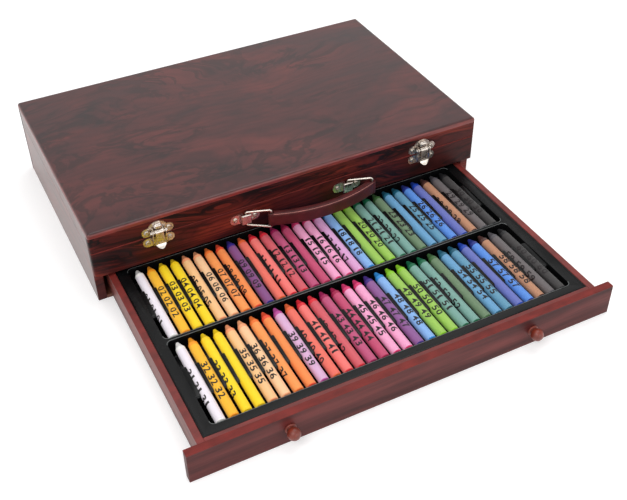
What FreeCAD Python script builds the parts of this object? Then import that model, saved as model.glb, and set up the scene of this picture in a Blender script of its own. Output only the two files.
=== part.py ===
# Wooden art case: a lid and a shallow compartment over a pulled-out drawer of wax crayons.
# All sizes are millimetres. X runs to the right, Y to the back and Z up.
# The origin is the centre of the case's underside, and the drawer is open at rest.
import FreeCAD, Part
import math
import os

os.makedirs("parts", exist_ok=True)
Vector = FreeCAD.Vector
x_axis = Vector(1, 0, 0)
z_axis = Vector(0, 0, 1)
outward = Vector(0, -1, 0)
backward = Vector(0, 1, 0)

# Overall sizes of the case; its height is the drawer's bay, the rail above it and the lid
case_width = 385.0
case_depth = 238.0
bay_height = 30.8
rail_height = 26.2
lid_height = 21.0

# Boards of the case
front_thickness = 6.0
back_thickness = 6.0
side_thickness = 8.0
top_thickness = 5.0
floor_thickness = 3.0
bottom_thickness = 3.5
top_edge_radius = 3.0
corner_radius = 1.6
board_edge_radius = 0.5
edge_wall_share = 0.25
top_edge_wall_share = 0.8

# Fits and clearances that several pieces share
seat_gap = 0.3
pin_fit = 0.06
hole_fit = 0.1
cut_over = 1.0
pick_reach = 0.1

# Drawer
drawer_hold = 11.0
drawer_back_gap = 3.5
drawer_side_gap = 4.2
drawer_side_thickness = 6.0
drawer_end_thickness = 5.5
drawer_front_thickness = 7.0
drawer_front_side_gap = 0.5
drawer_front_top_gap = 0.4
drawer_side_top_gap = 3.3
drawer_bottom_thickness = 3.0

# Drawer knobs
knob_centre_x = 110.5
knob_rise = 0.7
knob_ball_radius = 5.3
knob_ball_reach = 6.4
knob_collar_radius = 4.6
knob_collar_length = 1.4
knob_neck_radius = 3.2
knob_waist_share = 0.94
knob_swell_share = 1.04
knob_swell_height_share = 0.4
knob_screw_radius = 1.5
knob_screw_depth = 5.0

# Crayons and their tray
crayons_in_row = 30
crayon_radius = 4.2
crayon_tip_length = 7.7
crayon_tip_radius = 1.3
crayon_shoulder = 0.4
crayon_tip_gap = 2.6
crayon_butt_gap = 0.8
crayon_row_drift = 1.0
crayon_end_space = 8.3
crayon_rise = 0.3
tray_wall = 1.0
tray_drop = 0.7
tray_rim_height = 0.4
tray_rim_width = 1.4
tray_flange_side = 9.7
tray_flange_end = 8.35
tray_rib_width = 3.0
tray_corner_radius = 4.0
tray_edge_radius = 0.6
cradle_drop = 1.2
cradle_start_share = 0.3
cradle_end_share = 0.685

# Lid hinges on the back
hinge_centre_x = 122.0
hinge_width = 36.0
hinge_leaf_height = 13.0
hinge_leaf_thickness = 1.2
hinge_corner_radius = 1.5
hinge_knuckle_radius = 2.5
hinge_knuckle_gap = 0.2
hinge_pin_radius = 1.2
hinge_pin_head = 0.8
hinge_screw_inset = 8.0
hinge_screw_height = 8.6

# Small screws of the hardware
screw_head_radius = 2.2
screw_head_height = 1.2
screw_shank_radius = 1.1
screw_length = 4.6
screw_slot_width = 0.6
screw_slot_depth = 0.6

# Snap latches; heights are counted from the seam
latch_centre_x = 132.5
latch_plate_thickness = 0.8
latch_plate_half_width = 9.5
latch_plate_seam_gap = 0.9
latch_lobe_x = 10.0
latch_lobe_radius = 4.4
latch_upper_lobe_height = 5.3
latch_lower_lobe_depth = 5.3
latch_lower_plate_depth = 9.6
latch_pivot_height = 5.7
latch_pivot_reach = 3.9
latch_pin_radius = 0.8
latch_pin_head_radius = 1.45
latch_pin_head_length = 1.3
latch_ear_radius = 1.4
latch_ear_thickness = 0.9
latch_dome_half_width = 3.8
latch_dome_bottom = 8.6
latch_dome_height = 5.0
latch_dome_reach = 4.6
latch_dome_round_share = 0.42
flap_thickness = 0.8
flap_half_width = 6.3
flap_tongue_half_width = 3.7
flap_head_radius = 2.5
flap_side_depth = 7.4
flap_lip_depth = 5.2
flap_tip_depth = 9.8
flap_tip_reach = 3.0
flap_tip_half_width = 2.2
flap_bill_half_width = 4.8
flap_window_half_width = 2.6
flap_window_top = 0.6
flap_window_bottom = 4.2
flap_slot_top_gap = 0.8
catch_half_width = 2.2
catch_depth = 3.4
catch_reach = 3.9
catch_radius = 1.2

# Carry handle
handle_centre_x = 51.6
handle_drop = 10.9
bracket_lobe_x = 9.5
bracket_lobe_radius = 4.9
bracket_plate_thickness = 1.0
bracket_bridge_half_width = 4.8
bracket_bridge_half_height = 5.1
bracket_bridge_reach = 5.0
bracket_bridge_wall = 1.1
bracket_tunnel_half_width = 2.2
bracket_edge_radius = 1.1
ring_wire_radius = 1.0
ring_bar_reach = 2.4
ring_reach = 23.0
ring_near_half_height = 7.0
ring_far_half_height = 9.4
ring_corner_radius = 1.8
ring_rest_angle = 27.0
strap_half_height = 6.6
strap_drop = 0.4
strap_thickness = 7.0
strap_bow = 10.2
strap_eye_wall = 1.8

# Places that follow from the sizes above
seam_height = bay_height + rail_height
case_height = seam_height + lid_height
half_width = case_width / 2
front_y = -case_depth / 2
back_y = case_depth / 2
bay_front_y = front_y + front_thickness
bay_back_y = back_y - back_thickness
bay_half_width = half_width - side_thickness
lid_bottom = seam_height + seat_gap
lid_wall_top = case_height - top_thickness

drawer_back_y = bay_front_y + drawer_hold
drawer_box_length = bay_back_y - bay_front_y + seat_gap - drawer_back_gap
drawer_box_front_y = drawer_back_y - drawer_box_length
drawer_face_y = drawer_box_front_y - drawer_front_thickness
drawer_half_width = bay_half_width - drawer_side_gap
drawer_inner_half_width = drawer_half_width - drawer_side_thickness
drawer_inner_front_y = drawer_box_front_y + drawer_end_thickness
drawer_inner_back_y = drawer_back_y - drawer_end_thickness
drawer_low = bottom_thickness + seat_gap
drawer_side_top = bay_height - drawer_side_top_gap
drawer_front_top = bay_height - drawer_front_top_gap
drawer_bottom_top = drawer_low + drawer_bottom_thickness
knob_height = (seat_gap + drawer_front_top) / 2 + knob_rise
handle_height = seam_height - handle_drop

nodes = {}


# Shapes that several pieces use

def box(x_low, x_high, y_low, y_high, z_low, z_high):
    corner = Vector(x_low, y_low, z_low)
    return Part.makeBox(x_high - x_low, y_high - y_low, z_high - z_low, corner)


def front_box(x_low, x_high, out_low, out_high, z_low, z_high):
    # "out" counts away from the case's front face.
    return box(x_low, x_high, front_y - out_high, front_y - out_low, z_low, z_high)


def rod(radius, start, end):
    run = end.sub(start)
    return Part.makeCylinder(radius, run.Length, start, run)


def fuse(shapes):
    return shapes[0].multiFuse(shapes[1:]).removeSplitter()


def same(one, other):
    return abs(one - other) < pick_reach


def soften(solid, radius, chosen):
    # Rounds the edges whose middle point is one of the chosen places.
    edges = [edge for edge in solid.Edges if chosen(edge.CenterOfMass)]
    return solid.makeFillet(radius, edges)


def board(x_low, x_high, y_low, y_high, z_low, z_high):
    solid = box(x_low, x_high, y_low, y_high, z_low, z_high)
    thinnest = min(x_high - x_low, y_high - y_low, z_high - z_low)
    return solid.makeFillet(min(board_edge_radius, thinnest * edge_wall_share), solid.Edges)


def rail(y_low, y_high, z_low, z_high, face_y):
    # A full-width board whose two outer upright corners are rounder than its other edges.
    solid = box(-half_width, half_width, y_low, y_high, z_low, z_high)
    solid = soften(solid, corner_radius, lambda at: same(at.y, face_y) and same(abs(at.x), half_width))
    return soften(solid, board_edge_radius, lambda at: same(at.z, z_low) or same(at.z, z_high))


def outline_solid(points, run):
    wire = Part.makePolygon(points + points[:1])
    return Part.Face(wire).extrude(run)


def screw(seat, direction, length, head_radius, head_height, shank_radius):
    # "seat" is the point under the head, and "direction" points from it out of the work.
    head = Part.makeCylinder(head_radius, head_height)
    head = soften(head, head_height / 2, lambda at: at.z > head_height / 2)
    slot_low = head_height - screw_slot_depth
    slot_half = screw_slot_width / 2
    arm = head_radius - screw_slot_width
    for half_x, half_y in ((arm, slot_half), (slot_half, arm)):
        head = head.cut(box(-half_x, half_x, -half_y, half_y, slot_low, head_height + cut_over))
    shank = Part.makeCylinder(shank_radius, length + head_height / 2, Vector(0, 0, -length))
    solid = fuse([shank, head])
    solid.Placement = FreeCAD.Placement(seat, FreeCAD.Rotation(z_axis, direction))
    return solid


def small_screw(seat, direction):
    return screw(seat, direction, screw_length, screw_head_radius, screw_head_height, screw_shank_radius)


def screw_hole(seat, direction, length, radius):
    # A bore for the shank, open past the seat and a little deeper than the shank's end.
    start = seat.add(direction * cut_over)
    end = seat.sub(direction * (length + seat_gap))
    return rod(radius + hole_fit, start, end)


def small_hole(seat, direction):
    return screw_hole(seat, direction, screw_length, screw_shank_radius)


def keep(name, *solids):
    nodes[name] = solids[0] if len(solids) == 1 else Part.makeCompound(list(solids))


# Screw places of the hardware, each the point under a screw's head

def hinge_screw_seats(centre_x, up):
    height = hinge_axis.z + up * hinge_screw_height
    reach = back_y + hinge_leaf_thickness
    half = hinge_width / 2 - hinge_screw_inset
    return [Vector(centre_x + step * half, reach, height) for step in (-1, 1)]


def latch_screw_seats(centre_x, height):
    reach = front_y - latch_plate_thickness
    return [Vector(centre_x + step * latch_lobe_x, reach, height) for step in (-1, 1)]


def bracket_screw_seats(centre_x):
    reach = front_y - bracket_plate_thickness
    return [Vector(centre_x + step * bracket_lobe_x, reach, handle_height) for step in (-1, 1)]


hinge_axis = Vector(0, back_y + hinge_knuckle_radius + seat_gap / 2, seam_height + seat_gap / 2)
latch_upper_screw_height = seam_height + latch_upper_lobe_height
latch_lower_screw_height = seam_height - latch_lower_lobe_depth
sides = {"left": -1, "right": 1}

hinge_lid_seats = []
hinge_base_seats = []
latch_lid_seats = []
latch_base_seats = []
bracket_seats = []
for side in sides.values():
    hinge_lid_seats += hinge_screw_seats(side * hinge_centre_x, 1)
    hinge_base_seats += hinge_screw_seats(side * hinge_centre_x, -1)
    latch_lid_seats += latch_screw_seats(side * latch_centre_x, latch_upper_screw_height)
    latch_base_seats += latch_screw_seats(side * latch_centre_x, latch_lower_screw_height)
    bracket_seats += bracket_screw_seats(side * handle_centre_x)


def drilled(solid, seats, direction):
    for seat in seats:
        solid = solid.cut(small_hole(seat, direction))
    return solid


# Base of the case

def make_base():
    front = rail(front_y, bay_front_y, bay_height, seam_height, front_y)
    front = drilled(front, latch_base_seats + bracket_seats, outward)
    back = rail(bay_back_y, back_y, 0, seam_height, back_y)
    back = drilled(back, hinge_base_seats, backward)
    keep("base_front_rail", front)
    keep("base_back_panel", back)
    for name, side in sides.items():
        x_low, x_high = sorted((side * half_width, side * bay_half_width))
        keep(f"base_{name}_side", board(x_low, x_high, bay_front_y, bay_back_y, 0, seam_height))
    inside = (-bay_half_width, bay_half_width, bay_front_y, bay_back_y)
    keep("compartment_floor", board(*inside, bay_height, bay_height + floor_thickness))
    keep("base_bottom_panel", board(*inside, 0, bottom_thickness))


# Lid of the case

def make_lid():
    top = box(-half_width, half_width, front_y, back_y, lid_wall_top, case_height)
    middle = case_height - top_thickness / 2
    top = soften(top, corner_radius, lambda at: same(at.z, middle))
    round_over = min(top_edge_radius, top_thickness * top_edge_wall_share)
    top = soften(top, round_over, lambda at: same(at.z, case_height))
    keep("lid_top_panel", top)
    front = rail(front_y, bay_front_y, lid_bottom, lid_wall_top, front_y)
    keep("lid_front_rail", drilled(front, latch_lid_seats, outward))
    back = rail(bay_back_y, back_y, lid_bottom, lid_wall_top, back_y)
    keep("lid_back_rail", drilled(back, hinge_lid_seats, backward))
    for name, side in sides.items():
        x_low, x_high = sorted((side * half_width, side * bay_half_width))
        keep(f"lid_{name}_rail", board(x_low, x_high, bay_front_y, bay_back_y, lid_bottom, lid_wall_top))


# Butt hinges on the back faces

def hinge_leaf(centre_x, up, thirds):
    # "up" is 1 for the lid's leaf and -1 for the base's, and "thirds" are the knuckles that it holds.
    low = centre_x - hinge_width / 2
    third = hinge_width / 3
    clear = hinge_knuckle_radius + seat_gap
    z_near, z_far = hinge_axis.z + up * clear, hinge_axis.z + up * hinge_leaf_height
    z_low, z_high = sorted((z_near, z_far))
    leaf_back = back_y + hinge_leaf_thickness
    plate = box(low, low + hinge_width, back_y, leaf_back, z_low, z_high)
    plate = soften(plate, hinge_corner_radius, lambda at: same(at.z, z_far)
                   and same(abs(at.x - centre_x), hinge_width / 2))
    pieces = [plate]
    for index in thirds:
        start = low + index * third + (hinge_knuckle_gap / 2 if index > 0 else 0)
        end = low + (index + 1) * third - (hinge_knuckle_gap / 2 if index < 2 else 0)
        z_low, z_high = sorted((hinge_axis.z, z_near + up * cut_over))
        pieces.append(box(start, end, back_y, leaf_back, z_low, z_high))
        axis_y_z = Vector(0, hinge_axis.y, hinge_axis.z)
        pieces.append(rod(hinge_knuckle_radius, axis_y_z.add(x_axis * start), axis_y_z.add(x_axis * end)))
    leaf = fuse(pieces)
    ends = [Vector(low + step, hinge_axis.y, hinge_axis.z) for step in (-cut_over, hinge_width + cut_over)]
    leaf = leaf.cut(rod(hinge_pin_radius + pin_fit, *ends))
    return drilled(leaf, hinge_screw_seats(centre_x, up), backward)


def make_hinges():
    for name, side in sides.items():
        centre_x = side * hinge_centre_x
        keep(f"hinge_{name}_lid_leaf", hinge_leaf(centre_x, 1, (1,)))
        keep(f"hinge_{name}_base_leaf", hinge_leaf(centre_x, -1, (0, 2)))
        reach = hinge_width / 2 + hinge_pin_head
        ends = [Vector(centre_x + step * reach, hinge_axis.y, hinge_axis.z) for step in (-1, 1)]
        keep(f"hinge_{name}_pin", rod(hinge_pin_radius, *ends))
    keep("hinge_lid_screws", *[small_screw(seat, backward) for seat in hinge_lid_seats])
    keep("hinge_base_screws", *[small_screw(seat, backward) for seat in hinge_base_seats])


# Snap latches on the front faces

def lobed_plate(centre_x, lobe_x, lobe_radius, lobe_height, thickness, body):
    discs = []
    for step in (-1, 1):
        start = Vector(centre_x + step * lobe_x, front_y, lobe_height)
        discs.append(rod(lobe_radius, start, start.add(outward * thickness)))
    return fuse([body] + discs)


def latch_upper_plate(centre_x):
    low = seam_height + latch_plate_seam_gap
    arch_height = seam_height + latch_upper_lobe_height
    wide = latch_plate_half_width
    body = front_box(centre_x - wide, centre_x + wide, 0, latch_plate_thickness, low, arch_height)
    start = Vector(centre_x, front_y, arch_height)
    arch = rod(wide, start, start.add(outward * latch_plate_thickness))
    arch = arch.cut(front_box(centre_x - wide, centre_x + wide, -cut_over, latch_plate_thickness + cut_over,
                              low - 2 * wide, low))
    plate = lobed_plate(centre_x, latch_lobe_x, latch_lobe_radius, latch_upper_screw_height,
                        latch_plate_thickness, fuse([body, arch]))
    dome_low = seam_height + latch_dome_bottom
    dome = front_box(centre_x - latch_dome_half_width, centre_x + latch_dome_half_width, 0, latch_dome_reach,
                     dome_low, dome_low + latch_dome_height)
    round_over = latch_dome_height * latch_dome_round_share
    dome = soften(dome, round_over, lambda at: at.y < front_y - pick_reach)
    pieces = [plate, dome]
    pivot_z = seam_height + latch_pivot_height
    ear_far = flap_half_width - flap_thickness - seat_gap * 2
    for step in (-1, 1):
        near, far = centre_x + step * (ear_far - latch_ear_thickness), centre_x + step * ear_far
        x_low, x_high = sorted((near, far))
        pieces.append(front_box(x_low, x_high, 0, latch_pivot_reach,
                                pivot_z - latch_ear_radius, pivot_z + latch_ear_radius))
        y = front_y - latch_pivot_reach
        pieces.append(rod(latch_ear_radius, Vector(x_low, y, pivot_z), Vector(x_high, y, pivot_z)))
    plate = fuse(pieces)
    plate = plate.cut(latch_pin_bore(centre_x))
    return drilled(plate, latch_screw_seats(centre_x, latch_upper_screw_height), outward)


def latch_pin_ends(centre_x, reach):
    y, z = front_y - latch_pivot_reach, seam_height + latch_pivot_height
    return [Vector(centre_x + step * reach, y, z) for step in (-1, 1)]


def latch_pin_bore(centre_x):
    return rod(latch_pin_radius + pin_fit, *latch_pin_ends(centre_x, flap_half_width + cut_over))


def latch_pin(centre_x):
    head_near = flap_half_width + seat_gap
    pieces = [rod(latch_pin_radius, *latch_pin_ends(centre_x, head_near + latch_pin_head_length / 2))]
    for near, far in zip(latch_pin_ends(centre_x, head_near),
                         latch_pin_ends(centre_x, head_near + latch_pin_head_length)):
        head = rod(latch_pin_head_radius, near, far)
        outer = far.x
        pieces.append(soften(head, latch_pin_head_length / 2, lambda at: same(at.x, outer)))
    return fuse(pieces)


def latch_flap(centre_x):
    pivot_z = seam_height + latch_pivot_height
    face_out = latch_pivot_reach + flap_head_radius
    face_in = face_out - flap_thickness
    wide = flap_half_width
    lip_z, tip_z = seam_height - flap_lip_depth, seam_height - flap_tip_depth
    pieces = [front_box(centre_x - wide, centre_x + wide, face_in, face_out, lip_z, pivot_z)]
    for step in (-1, 1):
        x_low, x_high = sorted((centre_x + step * wide, centre_x + step * (wide - flap_thickness)))
        low = seam_height - flap_side_depth
        pieces.append(front_box(x_low, x_high, latch_pivot_reach - flap_head_radius, face_out, low, pivot_z))
        y = front_y - latch_pivot_reach
        pieces.append(rod(flap_head_radius, Vector(x_low, y, pivot_z), Vector(x_high, y, pivot_z)))
    # The lip flares outwards, and its sides draw in to a blunt bill.
    profile = [(face_in, lip_z), (face_out, lip_z), (face_out + flap_tip_reach, tip_z + flap_thickness / 2),
               (face_out + flap_tip_reach - flap_thickness, tip_z), (face_in, lip_z - flap_thickness)]
    start_x = centre_x - wide
    lip = outline_solid([Vector(start_x, front_y - out, z) for out, z in profile], x_axis * (2 * wide))
    half_bill, bill_z = flap_bill_half_width, lip_z - flap_thickness
    bill = [(-wide, lip_z + cut_over), (wide, lip_z + cut_over), (wide, lip_z), (half_bill, bill_z),
            (flap_tip_half_width, tip_z), (-flap_tip_half_width, tip_z), (-half_bill, bill_z), (-wide, lip_z)]
    bill_run = face_out + flap_tip_reach + cut_over
    lip = lip.common(outline_solid([Vector(centre_x + x, front_y, z) for x, z in bill], outward * bill_run))
    flap = fuse(pieces + [lip])
    window = front_box(centre_x - flap_window_half_width, centre_x + flap_window_half_width,
                       face_in - cut_over, face_out + cut_over,
                       seam_height - flap_window_bottom, seam_height - flap_window_top)
    middle_y = front_y - (face_in + face_out) / 2
    window = soften(window, flap_thickness, lambda at: same(at.y, middle_y))
    # A slot on each side parts the tongue from the strips beside it.
    for step in (-1, 1):
        x_low, x_high = sorted((centre_x + step * flap_tongue_half_width, centre_x + step * (wide - flap_thickness)))
        slot = front_box(x_low, x_high, face_in - cut_over, face_out + cut_over, seam_height - flap_window_bottom,
                         pivot_z - flap_slot_top_gap)
        flap = flap.cut(slot)
    return flap.cut(window).cut(latch_pin_bore(centre_x))


def latch_catch_plate(centre_x):
    high = seam_height - latch_plate_seam_gap
    low = seam_height - latch_lower_plate_depth
    wide = latch_plate_half_width
    body = front_box(centre_x - wide, centre_x + wide, 0, latch_plate_thickness, low, high)
    plate = lobed_plate(centre_x, latch_lobe_x, latch_lobe_radius, latch_lower_screw_height,
                        latch_plate_thickness, body)
    bead_z = seam_height - catch_depth
    narrow = catch_half_width
    web = front_box(centre_x - narrow, centre_x + narrow, 0, catch_reach, bead_z - catch_radius / 2,
                    bead_z + catch_radius / 2)
    y = front_y - catch_reach
    bead = rod(catch_radius, Vector(centre_x - narrow, y, bead_z), Vector(centre_x + narrow, y, bead_z))
    plate = fuse([plate, web, bead])
    return drilled(plate, latch_screw_seats(centre_x, latch_lower_screw_height), outward)


def make_latches():
    for name, side in sides.items():
        centre_x = side * latch_centre_x
        keep(f"latch_{name}_upper_plate", latch_upper_plate(centre_x))
        keep(f"latch_{name}_pin", latch_pin(centre_x))
        keep(f"latch_{name}_flap", latch_flap(centre_x))
        keep(f"latch_{name}_catch_plate", latch_catch_plate(centre_x))
    keep("latch_upper_screws", *[small_screw(seat, outward) for seat in latch_lid_seats])
    keep("latch_catch_screws", *[small_screw(seat, outward) for seat in latch_base_seats])


# Carry handle: two brackets, two wire rings that swing together, and the strap between them

def handle_bracket(centre_x):
    body = front_box(centre_x - bracket_lobe_x, centre_x + bracket_lobe_x, 0, bracket_plate_thickness,
                     handle_height - bracket_lobe_radius, handle_height + bracket_lobe_radius)
    plate = lobed_plate(centre_x, bracket_lobe_x, bracket_lobe_radius, handle_height,
                        bracket_plate_thickness, body)
    wide, tall = bracket_bridge_half_width, bracket_bridge_half_height
    bridge = front_box(centre_x - wide, centre_x + wide, 0, bracket_bridge_reach,
                       handle_height - tall, handle_height + tall)
    bridge_y = front_y - bracket_bridge_reach
    bridge = soften(bridge, bracket_edge_radius, lambda at: same(at.y, bridge_y))
    bracket = fuse([plate, bridge])
    # The ring's bar turns in a tunnel that runs behind the bridge from top to bottom.
    narrow, past = bracket_tunnel_half_width, tall + cut_over
    tunnel_reach = bracket_bridge_reach - bracket_bridge_wall
    tunnel = front_box(centre_x - narrow, centre_x + narrow, -cut_over, tunnel_reach,
                       handle_height - past, handle_height + past)
    return drilled(bracket.cut(tunnel), bracket_screw_seats(centre_x), outward)


def bend_setback(before, corner, after, bend):
    turn = corner.sub(before).getAngle(after.sub(corner))
    return bend * math.tan(turn / 2)


def closed_wire(corners, bend, radius):
    # A closed loop of round wire whose corners are bent to one radius.
    pieces = []
    count = len(corners)
    for index, corner in enumerate(corners):
        before, after = corners[index - 1], corners[(index + 1) % count]
        arrive = corner.sub(before).normalize()
        leave = after.sub(corner).normalize()
        start = corner.sub(arrive * bend_setback(before, corner, after, bend))
        inward = leave.sub(arrive * arrive.dot(leave)).normalize()
        section = Part.Face(Part.Wire(Part.makeCircle(radius, start, arrive)))
        turn = math.degrees(arrive.getAngle(leave))
        pieces.append(section.revolve(start.add(inward * bend), arrive.cross(leave), turn))
        beyond = corners[(index + 2) % count]
        leg_start = corner.add(leave * bend_setback(before, corner, after, bend))
        pieces.append(rod(radius, leg_start, after.sub(leave * bend_setback(corner, after, beyond, bend))))
    return fuse(pieces)


def ring_bar(side):
    return Vector(side * handle_centre_x, front_y - ring_bar_reach, handle_height)


def ring_far_offset():
    angle = math.radians(ring_rest_angle)
    return Vector(ring_reach * math.cos(angle), -ring_reach * math.sin(angle), 0)


def handle_ring(side):
    near_up, far_up = z_axis * ring_near_half_height, z_axis * ring_far_half_height
    near = ring_bar(side)
    far = near.add(ring_far_offset())
    corners = [near.sub(near_up), near.add(near_up), far.add(far_up), far.sub(far_up)]
    return closed_wire(corners, ring_corner_radius, ring_wire_radius)


def arc_edge(start, middle, end):
    return Part.Arc(start, middle, end).toShape()


def handle_strap():
    # The strap has slid down its rings to their lower legs.
    low = Vector(0, 0, handle_height - strap_drop - strap_half_height)
    rise = z_axis * (2 * strap_half_height)
    middle = ring_far_offset().add(Vector(0, front_y - ring_bar_reach, 0)).add(low)
    eye_radius = ring_wire_radius + seat_gap
    eye_outer = eye_radius + strap_eye_wall
    front_out, back_out = eye_outer, eye_outer - strap_thickness

    def at(x, out):
        return middle.add(Vector(x, -out, 0))

    reach = handle_centre_x
    front_arc = arc_edge(at(-reach, front_out), at(0, front_out + strap_bow), at(reach, front_out))
    back_arc = arc_edge(at(reach, back_out), at(0, back_out + strap_bow), at(-reach, back_out))
    right_end = Part.makeLine(at(reach, front_out), at(reach, back_out))
    left_end = Part.makeLine(at(-reach, back_out), at(-reach, front_out))
    band = Part.Face(Part.Wire([front_arc, right_end, back_arc, left_end])).extrude(rise)
    eyes = [rod(eye_outer, at(step * reach, 0), at(step * reach, 0).add(rise)) for step in (-1, 1)]
    strap = fuse([band] + eyes)
    for step in (-1, 1):
        start = at(step * reach, 0).sub(z_axis * cut_over)
        strap = strap.cut(rod(eye_radius, start, start.add(rise).add(z_axis * (2 * cut_over))))
    return strap


def make_handle():
    for name, side in sides.items():
        keep(f"handle_{name}_bracket", handle_bracket(side * handle_centre_x))
        keep(f"handle_{name}_ring", handle_ring(side))
    keep("handle_bracket_screws", *[small_screw(seat, outward) for seat in bracket_seats])
    keep("handle_strap", handle_strap())


# Drawer

def knob_screw_seat(side):
    return Vector(side * knob_centre_x, drawer_inner_front_y, knob_height)


knob_screw_length = drawer_end_thickness + drawer_front_thickness + knob_screw_depth
knob_screw_head_radius = knob_screw_radius * 2
knob_screw_head_height = knob_screw_radius


def knob_holes():
    holes = [screw_hole(knob_screw_seat(side), backward, knob_screw_length, knob_screw_radius)
             for side in sides.values()]
    return Part.makeCompound(holes)


def drawer_knob(side):
    # A turned knob: a collar against the face, a hollow neck and a ball.
    collar, ball = knob_collar_radius, knob_ball_radius
    reach = knob_ball_reach + ball
    ball_start = knob_ball_reach - math.sqrt(ball ** 2 - knob_neck_radius ** 2)
    neck_middle = (knob_collar_length + ball_start) / 2
    neck_radius = knob_neck_radius * knob_waist_share
    swell = Vector(collar * knob_swell_share, 0, knob_collar_length * knob_swell_height_share)
    diagonal = ball / math.sqrt(2)
    edges = [Part.makeLine(Vector(0, 0, 0), Vector(collar, 0, 0)),
             arc_edge(Vector(collar, 0, 0), swell, Vector(knob_neck_radius, 0, knob_collar_length)),
             arc_edge(Vector(knob_neck_radius, 0, knob_collar_length), Vector(neck_radius, 0, neck_middle),
                      Vector(knob_neck_radius, 0, ball_start)),
             arc_edge(Vector(knob_neck_radius, 0, ball_start),
                      Vector(diagonal, 0, knob_ball_reach + diagonal), Vector(0, 0, reach)),
             Part.makeLine(Vector(0, 0, reach), Vector(0, 0, 0))]
    solid = Part.Face(Part.Wire(edges)).revolve(Vector(0, 0, 0), z_axis, 360)
    solid.Placement = FreeCAD.Placement(Vector(side * knob_centre_x, drawer_face_y, knob_height),
                                        FreeCAD.Rotation(z_axis, outward))
    return solid


def make_drawer():
    front_half = half_width - drawer_front_side_gap
    front = board(-front_half, front_half, drawer_face_y, drawer_box_front_y, seat_gap, drawer_front_top)
    keep("drawer_front", front.cut(knob_holes()))
    inner_half = drawer_inner_half_width
    inner_front = board(-inner_half, inner_half, drawer_box_front_y, drawer_inner_front_y,
                        drawer_low, drawer_side_top)
    keep("drawer_inner_front", inner_front.cut(knob_holes()))
    keep("drawer_back", board(-inner_half, inner_half, drawer_inner_back_y, drawer_back_y,
                              drawer_low, drawer_side_top))
    for name, side in sides.items():
        x_low, x_high = sorted((side * inner_half, side * drawer_half_width))
        keep(f"drawer_{name}_side", board(x_low, x_high, drawer_box_front_y, drawer_back_y,
                                          drawer_low, drawer_side_top))
        keep(f"drawer_{name}_knob", drawer_knob(side).cut(knob_holes()))
    keep("drawer_bottom", board(-inner_half, inner_half, drawer_inner_front_y, drawer_inner_back_y,
                                drawer_low, drawer_bottom_top))
    keep("drawer_knob_screws", *[screw(knob_screw_seat(side), backward, knob_screw_length,
                                       knob_screw_head_radius, knob_screw_head_height, knob_screw_radius)
                                 for side in sides.values()])


# Tray and crayons

tray_top = drawer_side_top - tray_drop
tray_half_width = drawer_inner_half_width - seat_gap
tray_front_y = drawer_inner_front_y + seat_gap
tray_back_y = drawer_inner_back_y - seat_gap
well_half_width = tray_half_width - tray_flange_side
wells_front_y = tray_front_y + tray_flange_end
wells_back_y = tray_back_y - tray_flange_end
well_length = (wells_back_y - wells_front_y - tray_rib_width) / 2
well_floor = drawer_bottom_top + tray_wall
well_backs = {"front": wells_front_y + well_length, "back": wells_back_y}
crayon_length = well_length - crayon_tip_gap - crayon_butt_gap
crayon_height = drawer_side_top + crayon_rise - crayon_radius
crayon_pitch = 2 * (well_half_width - crayon_end_space) / (crayons_in_row - 1)
scallop_radius = crayon_radius + seat_gap

row_colours = {
    "back": ["white", "yellow", "yellow", "yellow", "peach", "peach", "orange", "orange", "purple", "red",
             "red", "red", "magenta", "magenta", "pink", "pink", "pink", "blue", "green", "green",
             "teal", "teal", "teal", "blue", "blue", "blue", "blue", "brown", "grey", "black"],
    "front": ["white", "yellow", "yellow", "yellow", "peach", "peach", "orange", "orange", "purple", "red",
              "red", "red", "magenta", "magenta", "pink", "pink", "purple", "blue", "green", "green",
              "teal", "teal", "teal", "blue", "blue", "blue", "blue", "brown", "grey", "black"],
}


def crayon_x(index):
    return crayon_pitch * (index - (crayons_in_row - 1) / 2)


def crayon_tip(row, index):
    # The crayons have slid a little: those at the right lie nearer the drawer's front.
    drift_share = index / (crayons_in_row - 1) - 1 / 2
    tip_y = well_backs[row] - crayon_tip_gap - crayon_row_drift * drift_share
    return Vector(crayon_x(index), tip_y, crayon_height)


def rounded_well(y_low, y_high, z_low, z_high):
    solid = box(-well_half_width, well_half_width, y_low, y_high, z_low, z_high)
    middle = (z_low + z_high) / 2
    return soften(solid, tray_corner_radius, lambda at: same(at.z, middle))


def cradle(back):
    # The scalloped bar across the middle of a well, hollow underneath as formed sheet is.
    tip = back - crayon_tip_gap
    y_high = tip - crayon_length * cradle_start_share
    y_low = tip - crayon_length * cradle_end_share
    wide = well_half_width + tray_wall / 2
    bar = box(-wide, wide, y_low, y_high, well_floor - tray_wall / 2, tray_top - cradle_drop)
    troughs = [rod(scallop_radius, Vector(crayon_x(index), y_low - cut_over, crayon_height),
                   Vector(crayon_x(index), y_high + cut_over, crayon_height))
               for index in range(crayons_in_row)]
    return bar.cut(Part.makeCompound(troughs)), (y_low, y_high)


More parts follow.
